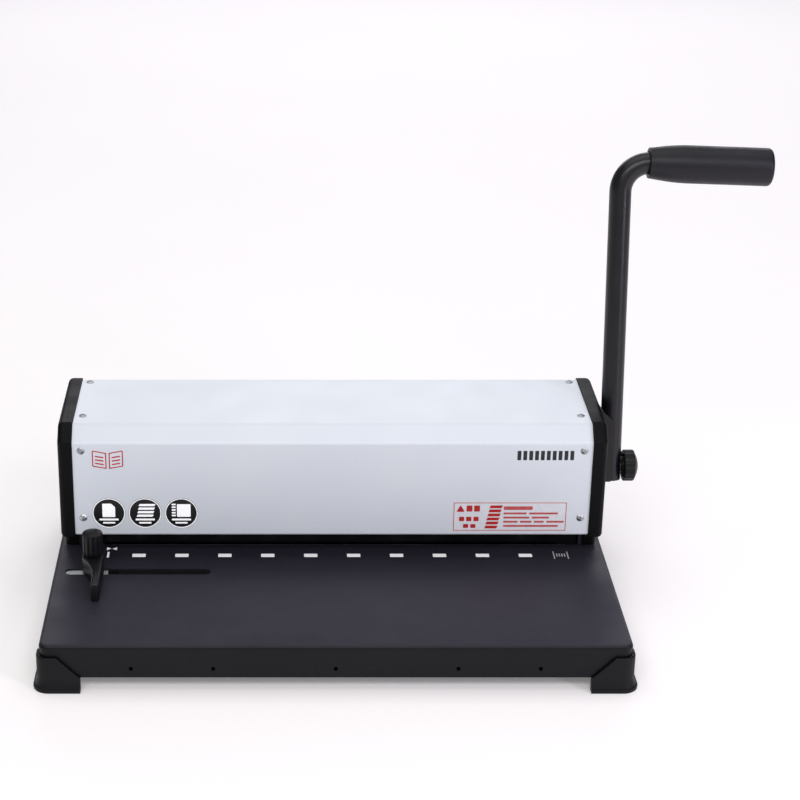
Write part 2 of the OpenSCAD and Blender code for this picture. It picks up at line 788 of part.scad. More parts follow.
module handle_socket() {
    inner = tube_d / 2 + 0.1;
    outer = inner + 2;
    reach = 8.5;                   // flange width over the web's inner face
    color("#202024") on_lever() difference() {
        union() {
            along_x(socket_in_x, socket_in_x + socket_t)
                translate([-outer, -tube_low]) square([2 * outer, tube_low + socket_up]);
            along_y(-outer, -inner) polygon([[socket_in_x, -tube_low],
                [socket_in_x + reach, -tube_low], [socket_in_x + reach, socket_up - 7],
                [socket_in_x, socket_up]]);
            along_y(inner, outer) polygon([[socket_in_x, -tube_low],
                [socket_in_x + reach, -tube_low], [socket_in_x + reach, socket_up - 7],
                [socket_in_x, socket_up]]);
        }
        rod_x([socket_in_x - 1, 0, 0], stud_r + loose, 4);
    }
}

// Section of the tube's wall, or of a thinner one inside it.
module tube_wall(thin = 0) {
    difference() {
        circle(d = tube_d - thin);
        circle(d = tube_d - 3 + thin);
    }
}

module handle_tube() {
    bend = 90 + droop;
    drop = tan(droop) * tube_bend_r * (1 - cos(bend));
    rise = round(1000 * (lever_len - tube_bend_r * sin(bend) - drop)) / 1000;
    run = grip_x + grip_len - tube_x - tube_bend_r - 7;
    join = 0.5;                    // overlap of the bend and the run inside the grip
    slim = 0.05;                   // how much thinner the run's wall is, on each face
    color("#1c1c20") on_lever() {
        difference() {
            translate([tube_x, 0, -tube_low]) linear_extrude(rise + tube_low) tube_wall();
            rod_x([tube_x - tube_d, 0, 0], stud_r + loose, 2 * tube_d);
        }
        translate([tube_x + tube_bend_r, 0, rise]) rotate([90, 0, 0]) mirror([1, 0, 0]) {
            rotate_extrude(angle = bend) translate([tube_bend_r, 0]) tube_wall();
            rotate([0, 0, bend]) translate([tube_bend_r, 0, 0]) rotate([-90, 0, 0]) {
                translate([0, 0, -join]) linear_extrude(run + join) tube_wall(2 * slim);
            }
        }
    }
}

// Places its children at the grip's inner end, with +Z along the grip.
module at_grip() {
    on_lever() translate([grip_x, 0, lever_len - tan(droop) * (grip_x - tube_x)])
        rotate([0, 90 + droop, 0]) children();
}

module handle_grip() {
    r0 = 10.6;
    r1 = grip_d / 2;
    neck = 0.32 * grip_len;
    swell = (neck * neck + (r1 - r0) * (r1 - r0)) / (2 * (r1 - r0));
    color("#18181b") at_grip() difference() {
        rotate_extrude() {
            intersection() {
                translate([r1 - swell, neck]) circle(r = swell, $fn = 720);
                square([r1, neck]);
            }
            translate([0, neck - eps]) square([r1, grip_len - neck - 2.5 + eps]);
            translate([0, grip_len - 2.6]) square([r1 - 2.5, 2.6]);
            translate([r1 - 2.5, grip_len - 2.5]) circle(r = 2.5);
        }
        translate([0, 0, -1]) cylinder(h = grip_len - 4, r = tube_d / 2 + snug);
        translate([0, 0, -1]) cylinder(h = 6, r = tube_d / 2 + 0.5);
    }
}

// A hand knob along +Z: fluted rim, shallow dome and a short hub underneath.
module fluted_knob(r, h, flutes, flute_r, dome) {
    dome_r = (r * r + dome * dome) / (2 * dome);
    difference() {
        union() {
            cylinder(h = h, r = r);
            translate([0, 0, h - eps]) rotate_extrude() intersection() {
                translate([0, dome - dome_r]) circle(r = dome_r, $fn = 256);
                square([r, dome]);
            }
        }
        for (i = [0:flutes - 1]) rotate([0, 0, 360 * i / flutes])
            translate([r + flute_r * 0.45, 0, -1]) cylinder(h = h + dome + 2, r = flute_r, $fn = 24);
    }
}

module lock_knob() {
    color("#17171a") translate([knob_x, shaft_y, shaft_z]) rotate([0, 90, 0]) difference() {
        union() {
            cylinder(h = 2, r = 6.5);
            translate([0, 0, 1]) fluted_knob(lock_knob_r, 7.8, 18, 1, 3);
        }
        translate([0, 0, -1]) cylinder(h = 8, r = stud_r + snug);
    }
}

module lock_stud() {
    x = socket_in_x - 16;
    color("silver") rod_x([x, shaft_y, shaft_z], stud_r, knob_x + 6 - x);
}

// ---------- side guide ----------

module guide_outline() {
    r = 7.3;
    arm_x = guide_x + 1.6;         // left side of the guide's narrow front end
    edge_x = guide_x + 7.1;        // the straight edge that the sheets lie against
    low = slot_y - 43.4;
    curve_y = slot_y - 32;
    curve_r = 49;
    translate([guide_x, slot_y]) circle(r = r);
    difference() {
        translate([guide_x - r, low]) square([edge_x - guide_x + r, slot_y - low]);
        translate([arm_x - curve_r, curve_y]) circle(r = curve_r, $fn = 180);
        translate([guide_x - r - 1, low - 1]) square([arm_x - guide_x + r + 1, curve_y - low + 1]);
    }
}

module guide_block() {
    color("#1b1b1e") difference() {
        translate([0, 0, guide_low_z]) linear_extrude(guide_h) guide_outline();
        rod_z([guide_x, slot_y, table_z - 1], guide_stud_r + loose, guide_h + 3);
    }
}

module slide_plate() {
    z = under_z - 0.2 - slide_plate_t;
    color("#b9bcbf") difference() {
        block([-half_w + 4.4, slot_y - 10, z], [guide_x + 8, slot_y + 10, z + slide_plate_t]);
        rod_z([guide_x, slot_y, z - 1], guide_stud_r + loose, slide_plate_t + 2);
    }
}

module guide_stud() {
    z = under_z - 0.2 - slide_plate_t;
    color("silver") {
        rod_z([guide_x, slot_y, z - eps], guide_stud_r, guide_low_z + guide_h + 14 - z);
        translate([guide_x, slot_y, z - 4]) cylinder(h = 4, r = 5.6, $fn = 6);
    }
}

module guide_knob() {
    z = guide_low_z + guide_h;
    color("#17171a") difference() {
        translate([guide_x, slot_y, z + 0.1]) fluted_knob(knob_d / 2, 16.4, 12, 1, 1.6);
        rod_z([guide_x, slot_y, z - 1], guide_stud_r + fit, 16);
    }
}

// ---------- chip drawer ----------

module drawer_rails() {
    z = drawer_z - 0.2;
    out = 7;                       // from the drawer's side to the rails' outer faces
    color("#2a292e") both_sides() difference() {
        block([drawer_half - 8, drawer_front_y, rim_z - 1.2],
            [drawer_half + out, drawer_back_y - 3, under_z]);
        block([drawer_half - 9, drawer_front_y - 1, z], [drawer_half + 0.4, drawer_back_y, under_z + 1]);
        block([drawer_half - 9, drawer_front_y - 1, table_z - die_t - 0.3],
            [drawer_half + out + 1, unit_back_y + 0.5, under_z + 1]);
    }
}

module chip_drawer() {
    top = drawer_z + drawer_h;
    y1 = drawer_back_y - drawer_wall;
    color("#232327") difference() {
        union() {
            block([-drawer_half, drawer_front_y + 0.5, drawer_z], [drawer_half, drawer_back_y + 0.2, top]);
            block([-face_half, drawer_back_y + 0.2, rim_z - 1], [face_half, drawer_back_y + 2, rim_z + 15.5]);
        }
        block([-drawer_half + drawer_wall, drawer_front_y + 0.5 + drawer_wall, drawer_z + drawer_wall],
            [drawer_half - drawer_wall, y1, top + 1]);
        translate([0, drawer_back_y + 9.5, rim_z + 7]) rotate([0, 90, 0])
            cylinder(h = 50, r = 8.6, center = true);
    }
}

base_tray();
front_left_foot();
front_right_foot();
rear_left_foot();
rear_right_foot();
foot_screws();
left_frame_plate();
right_frame_plate();
frame_screws();
left_side_cover();
right_side_cover();
side_cover_screws();
top_cover();
cover_screws();
rear_panel();
rear_panel_screws();
die_plate();
paper_gap_shim();
punch_guide_plate();
die_bolts();
guide_posts();
return_springs();
left_bush();
right_bush();
drawer_rails();
front_badges();
info_label();
main_shaft();
left_pinion();
right_pinion();
pinion_pins();
retaining_rings();
handle_socket();
handle_tube();
handle_grip();
press_beam();
left_rack();
right_rack();
rack_screws();
punch_pins();
pin_keeper();
keeper_screws();
guide_block();
guide_stud();
slide_plate();
guide_knob();
lock_knob();
lock_stud();
chip_drawer();
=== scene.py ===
"""Looks of the comb binding punch: finishes, detailed pieces, floor, lights and camera."""
import math

import bmesh
import bpy
from mathutils import Matrix, Vector


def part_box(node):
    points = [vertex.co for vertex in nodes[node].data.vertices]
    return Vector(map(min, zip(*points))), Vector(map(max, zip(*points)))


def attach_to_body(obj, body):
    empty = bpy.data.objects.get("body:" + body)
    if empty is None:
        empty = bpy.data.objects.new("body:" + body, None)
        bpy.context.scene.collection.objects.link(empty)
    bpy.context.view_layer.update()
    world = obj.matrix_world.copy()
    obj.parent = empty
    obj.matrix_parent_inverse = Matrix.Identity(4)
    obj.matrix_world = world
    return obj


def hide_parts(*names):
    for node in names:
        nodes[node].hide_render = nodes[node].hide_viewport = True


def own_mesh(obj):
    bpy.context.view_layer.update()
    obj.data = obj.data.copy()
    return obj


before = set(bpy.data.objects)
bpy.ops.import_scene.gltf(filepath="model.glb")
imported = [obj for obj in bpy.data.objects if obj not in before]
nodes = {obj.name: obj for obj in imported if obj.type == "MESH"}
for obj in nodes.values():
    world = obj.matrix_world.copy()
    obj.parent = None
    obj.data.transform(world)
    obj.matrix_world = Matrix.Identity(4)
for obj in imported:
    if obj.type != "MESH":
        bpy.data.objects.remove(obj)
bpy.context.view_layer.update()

MM = 0.001


# ---------- shapes: (points in millimetres, faces) ----------

def rounded(corners, closed=True, step=10):
    """The outline through corners (u, v, radius), with an arc at each corner."""
    out = []
    count = len(corners)
    for i, (u, v, r) in enumerate(corners):
        at = Vector((u, v))
        if r <= 0 or (not closed and i in (0, count - 1)):
            out.append(at)
            continue
        a = (Vector(corners[i - 1][:2]) - at).normalized()
        b = (Vector(corners[(i + 1) % count][:2]) - at).normalized()
        half = a.angle(b) / 2
        centre = at + (a + b).normalized() * (r / math.sin(half))
        start = at + a * (r / math.tan(half)) - centre
        end = at + b * (r / math.tan(half)) - centre
        first = math.atan2(start.y, start.x)
        turn = (math.atan2(end.y, end.x) - first + math.pi) % (2 * math.pi) - math.pi
        steps = max(2, math.ceil(abs(math.degrees(turn)) / step))
        for k in range(steps + 1):
            angle = first + turn * k / steps
            out.append(centre + r * Vector((math.cos(angle), math.sin(angle))))
    return out


def inset(outline, distance, closed=True):
    """The outline moved to its left by distance; a counter-clockwise one shrinks."""
    out = []
    count = len(outline)
    for i, at in enumerate(outline):
        before = at - outline[i - 1] if closed or i else None
        after = outline[(i + 1) % count] - at if closed or i < count - 1 else None
        sides = [Vector((-d.y, d.x)).normalized() for d in (before, after) if d is not None]
        if len(sides) == 2:
            shift = (sides[0] + sides[1]) / (1 + max(-0.9, sides[0].dot(sides[1])))
        else:
            shift = sides[0]
        out.append(at + shift * distance)
    return out


def shrunk(corners, distance):
    """Corners (u, v, radius) of a counter-clockwise outline moved inwards, radii following."""
    sharp = [Vector(c[:2]) for c in corners]
    out = []
    for i, at in enumerate(inset(sharp, distance)):
        before, after = sharp[i] - sharp[i - 1], sharp[(i + 1) % len(sharp)] - sharp[i]
        convex = before.cross(after) > 0
        r = corners[i][2]
        out.append((at.x, at.y, max(0.05, r - distance if convex else r + distance)))
    return out


def loft(rings, capped=True, looped=False):
    """A skin over rings of equally many points, with flat ends or closed into a loop."""
    count = len(rings[0])
    points = [Vector(p) for ring in rings for p in ring]
    faces = []
    for i in range(len(rings) if looped else len(rings) - 1):
        low, high = i * count, (i + 1) % len(rings) * count
        for j in range(count):
            k = (j + 1) % count
            faces.append((low + j, low + k, high + k, high + j))
    if capped and not looped:
        faces.append(tuple(range(count - 1, -1, -1)))
        faces.append(tuple(range(len(points) - count, len(points))))
    return points, faces


def prism(outline, levels):
    """An outline carried through levels (inset, height) along +Z."""
    return loft([[(p.x, p.y, z) for p in inset(outline, d)] for d, z in levels])


def moulded_prism(corners, levels, step=10):
    """Rounded corners carried through levels (inset, height) along +Z."""
    return loft([[(p.x, p.y, z) for p in rounded(shrunk(corners, d), step=step)] for d, z in levels])


def turned(profile, segments=64, looped=False, radius=None):
    """A profile of (radius, height) turned about Z; radius(r, h, angle) may vary it."""
    rings = []
    for r, h in profile:
        ring = []
        for k in range(segments):
            angle = 2 * math.pi * k / segments
            reach = radius(r, h, angle) if radius else r
            ring.append((reach * math.cos(angle), reach * math.sin(angle), h))
        rings.append(ring)
    return loft(rings, looped=looped)


def swept(path, section, capped=True):
    """A closed section of (side, up) offsets carried along path points in the XZ plane."""
    rings = []
    for i, at in enumerate(path):
        along = (path[min(i + 1, len(path) - 1)] - path[max(i - 1, 0)]).normalized()
        up = Vector((along.z, 0, -along.x))
        rings.append([at + Vector((0, s, 0)) + up * u for s, u in section])
    return loft(rings, capped)


def merged(*shapes):
    """Several shapes as one."""
    points, faces = [], []
    for some, others in shapes:
        start = len(points)
        points += some
        faces += [tuple(start + i for i in f) for f in others]
    return points, faces


def moved(shape, matrix):
    return [matrix @ Vector(p) for p in shape[0]], shape[1]


def box_shape(low, high):
    outline = [Vector(p) for p in ((low[0], low[1]), (high[0], low[1]), (high[0], high[1]), (low[0], high[1]))]
    return prism(outline, [(0, low[2]), (0, high[2])])


def disc(u, v, r, count=48):
    """A round outline about (u, v)."""
    return [Vector((u + r * math.cos(2 * math.pi * k / count), v + r * math.sin(2 * math.pi * k / count)))
            for k in range(count)]


def quad(u0, v0, u1, v1, r=0.0):
    """A rectangular outline with corners of radius r."""
    return rounded([(u0, v0, r), (u1, v0, r), (u1, v1, r), (u0, v1, r)], step=30)


# Axes swaps: a shape drawn in (u, v) and raised along +Z is turned so that +Z points elsewhere.
TO_X = Matrix(((0, 0, 1, 0), (1, 0, 0, 0), (0, 1, 0, 0), (0, 0, 0, 1)))
TO_FRONT = Matrix(((1, 0, 0, 0), (0, 0, -1, 0), (0, 1, 0, 0), (0, 0, 0, 1)))
MIRROR_X = Matrix.Diagonal((-1, 1, 1, 1))
MIRROR_Y = Matrix.Diagonal((1, -1, 1, 1))


# ---------- pieces ----------

def shade(obj, angle):
    """Shades smoothly, with sharp edges above angle degrees."""
    mesh = obj.data
    mesh.polygons.foreach_set("use_smooth", [True] * len(mesh.polygons))
    mesh.set_sharp_from_angle(angle=math.radians(angle))


def new_mesh(name, shape):
    """A mesh object of a shape, in metres, with its faces turned outwards."""
    mesh = bpy.data.meshes.new(name)
    mesh.from_pydata([p * MM for p in shape[0]], [], shape[1])
    work = bmesh.new()
    work.from_mesh(mesh)
    bmesh.ops.remove_doubles(work, verts=work.verts, dist=1e-7)
    bmesh.ops.recalc_face_normals(work, faces=work.faces)
    work.to_mesh(mesh)
    work.free()
    obj = bpy.data.objects.new(name, mesh)
    bpy.context.scene.collection.objects.link(obj)
    return obj


def carve(obj, shape):
    """Cuts a shape out of an object."""
    tool = new_mesh("tool", shape)
    step = obj.modifiers.new("carve", "BOOLEAN")
    step.operation, step.object, step.solver = "DIFFERENCE", tool, "EXACT"
    result = bpy.data.meshes.new_from_object(obj.evaluated_get(bpy.context.evaluated_depsgraph_get()))
    obj.modifiers.clear()
    obj.data = result
    bpy.data.objects.remove(tool)


def attach(obj, shape):
    """Adds a shape to an object as a loose part."""
    extra = new_mesh("extra", shape)
    work = bmesh.new()
    work.from_mesh(obj.data)
    work.from_mesh(extra.data)
    work.to_mesh(obj.data)
    work.free()
    bpy.data.objects.remove(extra)


def soften(obj, width, angle=40, segments=2):
    """Rounds the edges sharper than angle over width millimetres."""
    edge = obj.modifiers.new("edges", "BEVEL")
    edge.width = width * MM
    edge.segments = segments
    edge.limit_method = "ANGLE"
    edge.angle_limit = math.radians(angle)
    edge.use_clamp_overlap = True
    edge.harden_normals = False
    weigh = obj.modifiers.new("normals", "WEIGHTED_NORMAL")
    weigh.keep_sharp = True


def finish_piece(obj, body, look, replaces=(), angle=35, edge=None):
    """Gives a piece its material, rounded edges and body, and hides the nodes it replaces."""
    shade(obj, angle)
    obj.data.materials.clear()
    obj.data.materials.append(look)
    if edge:
        soften(obj, edge)
        shade(obj, 180)
    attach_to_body(obj, body)
    if replaces:
        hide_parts(*replaces)
    return obj


def add(name, shape, body, look, replaces=(), angle=35, edge=None):
    return finish_piece(new_mesh(name, shape), body, look, replaces, angle, edge)


# ---------- finishes ----------

def tone(r, g, b):
    """A display colour of 0 to 255 as a linear one."""
    return tuple(c / 12.92 if c <= 0.04045 else ((c + 0.055) / 1.055) ** 2.4
                 for c in (r / 255, g / 255, b / 255)) + (1.0,)


class Finish:
    """A procedural material with one shader, patterned in the object's own metres."""

    def __init__(self, name, **values):
        self.material = bpy.data.materials.new(name)
        self.material.use_nodes = True
        self.tree = self.material.node_tree
        self.shader = self.tree.nodes["Principled BSDF"]
        self.place = self.tree.nodes.new("ShaderNodeTexCoord").outputs["Object"]
        self.normal = None
        for key, value in values.items():
            self.shader.inputs[key.replace("_", " ")].default_value = value

    def stretched(self, *scale):
        node = self.tree.nodes.new("ShaderNodeMapping")
        self.tree.links.new(self.place, node.inputs["Vector"])
        node.inputs["Scale"].default_value = scale
        return node.outputs["Vector"]

    def noise(self, scale, detail=2.0, rough=0.5, where=None):
        node = self.tree.nodes.new("ShaderNodeTexNoise")
        self.tree.links.new(where or self.place, node.inputs["Vector"])
        node.inputs["Scale"].default_value = scale
        node.inputs["Detail"].default_value = detail
        node.inputs["Roughness"].default_value = rough
        return node.outputs["Fac"]

    def cells(self, scale):
        """One random colour for each cell of a Voronoi pattern."""
        node = self.tree.nodes.new("ShaderNodeTexVoronoi")
        self.tree.links.new(self.place, node.inputs["Vector"])
        node.inputs["Scale"].default_value = scale
        return node.outputs["Color"]

    def above(self, low, high):
        """0 below one height of the object and 1 above another, in millimetres."""
        node = self.tree.nodes.new("ShaderNodeSeparateXYZ")
        self.tree.links.new(self.place, node.inputs["Vector"])
        return self.remap(node.outputs["Z"], low * MM, high * MM, 0, 1)

    def remap(self, value, low, high, to_low, to_high):
        node = self.tree.nodes.new("ShaderNodeMapRange")
        self.tree.links.new(value, node.inputs["Value"])
        for key, number in (("From Min", low), ("From Max", high), ("To Min", to_low), ("To Max", to_high)):
            node.inputs[key].default_value = number
        return node.outputs["Result"]

    def mix(self, factor, first, second):
        node = self.tree.nodes.new("ShaderNodeMix")
        node.data_type = "RGBA"
        self.tree.links.new(factor, node.inputs["Factor"])
        for key, value in (("A", first), ("B", second)):
            socket = next(s for s in node.inputs if s.name == key and s.type == "RGBA")
            if isinstance(value, tuple):
                socket.default_value = value
            else:
                self.tree.links.new(value, socket)
        return next(s for s in node.outputs if s.type == "RGBA")

    def bump(self, height, depth_mm):
        node = self.tree.nodes.new("ShaderNodeBump")
        node.inputs["Strength"].default_value = 1.0
        node.inputs["Distance"].default_value = depth_mm * MM
        self.tree.links.new(height, node.inputs["Height"])
        if self.normal:
            self.tree.links.new(self.normal, node.inputs["Normal"])
        self.normal = node.outputs["Normal"]

    def done(self, colour, roughness):
        self.tree.links.new(colour, self.shader.inputs["Base Color"])
        self.tree.links.new(roughness, self.shader.inputs["Roughness"])
        if self.normal:
            self.tree.links.new(self.normal, self.shader.inputs["Normal"])
        return self.material


def coated(name, dark, light, rough, peel=0.03, speck=None, painted_sheen_tones=None, **values):
    """Powder coat: cloudy colour, fine speckle, orange peel; an optional pair of lighter tones is painted on
    faces above the table's height, a painted sheen for the light the flat top catches.
    """
    f = Finish(name, **values)
    cloud = f.remap(f.noise(7, 3), 0.35, 0.65, 0, 1)
    colour = f.mix(cloud, dark, light)
    # painted sheen: faces above the table's height get the lighter tones, as if lit from above
    if painted_sheen_tones:
        painted_sheen = f.mix(cloud, painted_sheen_tones[0], painted_sheen_tones[1])
        colour = f.mix(f.above(31.4, 32.5), colour, painted_sheen)
    grains = f.remap(f.noise(2300, 1), 0.62, 0.75, 0, 0.55)
    colour = f.mix(grains, colour, speck or light)
    roughness = f.remap(f.noise(38, 4, 0.6), 0.3, 0.7, rough[0], rough[1])
    f.bump(f.noise(520, 2), peel)
    f.bump(f.noise(1900, 1), peel * 0.28)
    return f.done(colour, roughness)


def moulded(name, dark, light, rough, grain=1300, depth=0.02, **values):
    """Injection-moulded plastic: eroded texture, faint flow clouds, handling marks."""
    f = Finish(name, **values)
    cloud = f.remap(f.noise(16, 3), 0.35, 0.65, 0, 1)
    colour = f.mix(cloud, dark, light)
    pits = f.noise(grain, 3, 0.65)
    colour = f.mix(f.remap(pits, 0.3, 0.5, 0.35, 0), colour, tuple(c * 0.5 for c in dark[:3]) + (1.0,))
    roughness = f.remap(f.noise(60, 4, 0.6), 0.3, 0.7, rough[0], rough[1])
    f.bump(pits, depth)
    return f.done(colour, roughness)


def metal(name, dark, light, rough, along=None, fine=1800, depth=0.004, **values):
    """Bare metal with grinding or turning lines; along gives the stretch of the pattern."""
    f = Finish(name, Metallic=1.0, **values)
    lines = f.noise(fine, 3, 0.6, f.stretched(*along) if along else None)
    stain = f.noise(22, 4, 0.6)
    colour = f.mix(f.remap(stain, 0.35, 0.7, 0, 1), light, dark)
    colour = f.mix(f.remap(lines, 0.35, 0.65, 0, 0.5), colour, dark)
    roughness = f.remap(lines, 0.3, 0.7, rough[0], rough[1])
    f.bump(lines, depth)
    return f.done(colour, roughness)


def spangled(name):
    """Hot-dip zinc: large crystals that differ in brightness and gloss."""
    f = Finish(name, Metallic=0.35)
    crystal = f.cells(210)
    colour = f.mix(f.remap(crystal, 0.2, 0.8, 0, 1), tone(186, 190, 196), tone(232, 235, 239))
    roughness = f.remap(crystal, 0.1, 0.9, 0.26, 0.46)
    f.bump(f.noise(900, 2), 0.006)
    return f.done(colour, roughness)


def printed(name, colour, other, rough=(0.3, 0.38), **values):
    """Screen-printed film: slightly uneven ink over a smooth carrier."""
    f = Finish(name, **values)
    ink = f.mix(f.remap(f.noise(420, 3), 0.35, 0.65, 0, 1), colour, other)
    roughness = f.remap(f.noise(150, 3), 0.3, 0.7, rough[0], rough[1])
    f.bump(f.noise(1400, 2), 0.004)
    return f.done(ink, roughness)


looks = {
    "table_coat": coated("table_coat", tone(9, 8, 12), tone(13, 12, 17), (0.38, 0.48),
                         # the lighter pair of tones is a painted sheen on the table's top face
                         speck=tone(44, 42, 50), painted_sheen_tones=(tone(43, 41, 51), tone(49, 47, 57)),
                         Specular_IOR_Level=0.2),
    "white_coat": coated("white_coat", tone(217, 223, 230), tone(224, 229, 235), (0.3, 0.4),
                         peel=0.02, speck=tone(238, 240, 244)),
    "lever_coat": coated("lever_coat", tone(8, 6, 14), tone(13, 10, 22), (0.28, 0.36),
                         peel=0.02, speck=tone(30, 28, 38), Specular_IOR_Level=0.46),
    "cover_plastic": moulded("cover_plastic", tone(4, 4, 6), tone(7, 7, 10), (0.42, 0.54),
                             Specular_IOR_Level=0.12),
    "foot_plastic": moulded("foot_plastic", tone(10, 9, 13), tone(14, 13, 18), (0.42, 0.55),
                            Specular_IOR_Level=0.22),
    "guide_plastic": moulded("guide_plastic", tone(15, 15, 17), tone(20, 20, 22), (0.28, 0.4), depth=0.01,
                             Specular_IOR_Level=0.35),
    "knob_plastic": moulded("knob_plastic", tone(8, 8, 10), tone(12, 12, 14), (0.36, 0.48), depth=0.012,
                            Specular_IOR_Level=0.26),
    "grip_plastic": moulded("grip_plastic", tone(13, 11, 19), tone(19, 17, 27), (0.4, 0.52), grain=900,
                            depth=0.03, Specular_IOR_Level=0.35),
    "drawer_plastic": moulded("drawer_plastic", tone(22, 22, 25), tone(28, 28, 31), (0.4, 0.55),
                              Specular_IOR_Level=0.3),
    "steel_plate": metal("steel_plate", tone(120, 123, 128), tone(150, 153, 158), (0.3, 0.45),
                         (1, 0.04, 1)),
    "tool_steel": metal("tool_steel", tone(96, 98, 103), tone(130, 132, 137), (0.22, 0.36),
                        (0.03, 1, 1)),
    "ground_steel": metal("ground_steel", tone(160, 163, 168), tone(196, 198, 202), (0.14, 0.26),
                          (1, 0.02, 0.02)),
    "spring_steel": metal("spring_steel", tone(140, 143, 148), tone(190, 193, 198), (0.22, 0.36)),
    "black_oxide": metal("black_oxide", tone(38, 38, 42), tone(56, 56, 60), (0.32, 0.46)),
    "zinc_screw": metal("zinc_screw", tone(168, 171, 176), tone(214, 216, 220), (0.3, 0.46), fine=1200),
    "zinc_plate": spangled("zinc_plate"),
    "black_screw": metal("black_screw", tone(40, 40, 44), tone(62, 62, 66), (0.3, 0.45)),
    "bronze": metal("bronze", tone(140, 98, 52), tone(190, 144, 84), (0.26, 0.42), (1, 0.05, 0.05)),
    "badge_film": printed("badge_film", tone(17, 17, 20), tone(24, 24, 27)),
    "label_film": printed("label_film", tone(222, 225, 231), tone(229, 231, 236)),
}
red_ink = printed("red_ink", tone(176, 30, 30), tone(196, 42, 40))
# painted light: this grey ink glows faintly, brightening the end marks where the cover shades the table
glowing_grey_ink = printed("glowing_grey_ink", tone(150, 150, 156), tone(172, 172, 178), (0.4, 0.5), Emission_Strength=0.1)
# painted light: this white ink glows faintly, so white marks stay bright where shade falls on them
glowing_white_ink = printed("glowing_white_ink", tone(246, 247, 250), tone(253, 253, 254), (0.4, 0.5), Emission_Strength=0.28)
dark_ink = printed("dark_ink", tone(20, 20, 26), tone(28, 28, 34))
outline_ink = printed("outline_ink", tone(190, 78, 80), tone(202, 92, 92))

# CAD nodes that keep their own shape: how wide their edges are rounded, in millimetres.
edge_widths = {
    "foot_screws": 0.12, "left_frame_plate": 0.3, "right_frame_plate": 0.3,
    "frame_screws": 0.12, "side_cover_screws": 0.12, "cover_screws": 0.1,
    "rear_panel_screws": 0.12, "die_plate": 0.25, "paper_gap_shim": 0.15, "punch_guide_plate": 0.3,
    "die_bolts": 0.2, "guide_posts": 0.25, "left_bush": 0.2, "right_bush": 0.2, "drawer_rails": 0.25,
    "main_shaft": 0.25, "left_pinion": 0.1, "right_pinion": 0.1, "pinion_pins": 0.15,
    "retaining_rings": 0.1, "handle_socket": 0.35, "press_beam": 0.3, "left_rack": 0.1,
    "right_rack": 0.1, "rack_screws": 0.12, "punch_pins": 0.1, "pin_keeper": 0.25,
    "keeper_screws": 0.12, "guide_stud": 0.15, "slide_plate": 0.2, "lock_stud": 0.2,
    "chip_drawer": 0.5,
}
slot_of = {n: nodes[n].data.materials[0].name.split(".")[0] for n in nodes}
for name, obj in nodes.items():
    obj.data.materials.clear()
    obj.data.materials.append(looks[slot_of[name]])
for name, width in edge_widths.items():
    obj = nodes[name]
    weld = obj.modifiers.new("weld", "WELD")
    weld.merge_threshold = 1e-6
    soften(obj, width)


# ---------- folded cover ----------

COVER_FRONT, COVER_BACK, COVER_LOW, COVER_TOP = -3.7, 87.7, 50.7, 130.5
COVER_HALF, COVER_SHEET, CHAMFER = 177.5, 1.2, 10.2

fold = rounded([
    (COVER_FRONT + 6, COVER_LOW, 0), (COVER_FRONT, COVER_LOW, 1.9),
    (COVER_FRONT, COVER_TOP - CHAMFER, 3.2), (COVER_FRONT + CHAMFER, COVER_TOP, 3.2),
    (COVER_BACK, COVER_TOP, 2.6), (COVER_BACK, COVER_TOP - 11.5, 0)], closed=False, step=7.5)
section = fold + inset(fold, -COVER_SHEET, closed=False)[::-1]
cover = moved(prism(section, [(0, -COVER_HALF), (0, COVER_HALF)]), TO_X)
add("folded_cover", cover, "root", looks["white_coat"], ["top_cover"], angle=25, edge=0.15)


# ---------- rear panel ----------

PANEL_BACK, PANEL_SHEET, PANEL_SCREW_Z = 86.3, 1.2, (70, 112)
rear_panel = new_mesh("rear_sheet", moved(moulded_prism(
    [(-177, 32.8, 1.5), (177, 32.8, 1.5), (177, 129.3, 1.5), (-177, 129.3, 1.5)],
    [(0, -PANEL_BACK), (0, PANEL_SHEET - PANEL_BACK)]), TO_FRONT))
for x in (-171.5, 171.5):
    for z in PANEL_SCREW_Z:
        hole = prism(disc(x, z, 2.1, 32), [(0, -PANEL_BACK - 1), (0, PANEL_SHEET - PANEL_BACK + 1)])
        carve(rear_panel, moved(hole, TO_FRONT))
finish_piece(rear_panel, "root", looks["table_coat"], ["rear_panel"], edge=0.25)


# ---------- side covers ----------

SIDE_IN, SIDE_OUT, SIDE_WALL, SIDE_FILLET = 177.7, 187.5, 3.0, 3.6
side_corners = [(-5, 49.6, 1.2), (17, 49.6, 1.0), (17, 32.65, 0.8), (95, 32.65, 1.5), (95, 132.1, 12),
                (5.4, 132.1, 4), (-5, 121.7, 4)]
side_screw_places = [(13, 63.9), (71.1, 54.6), (46, 115.3)]


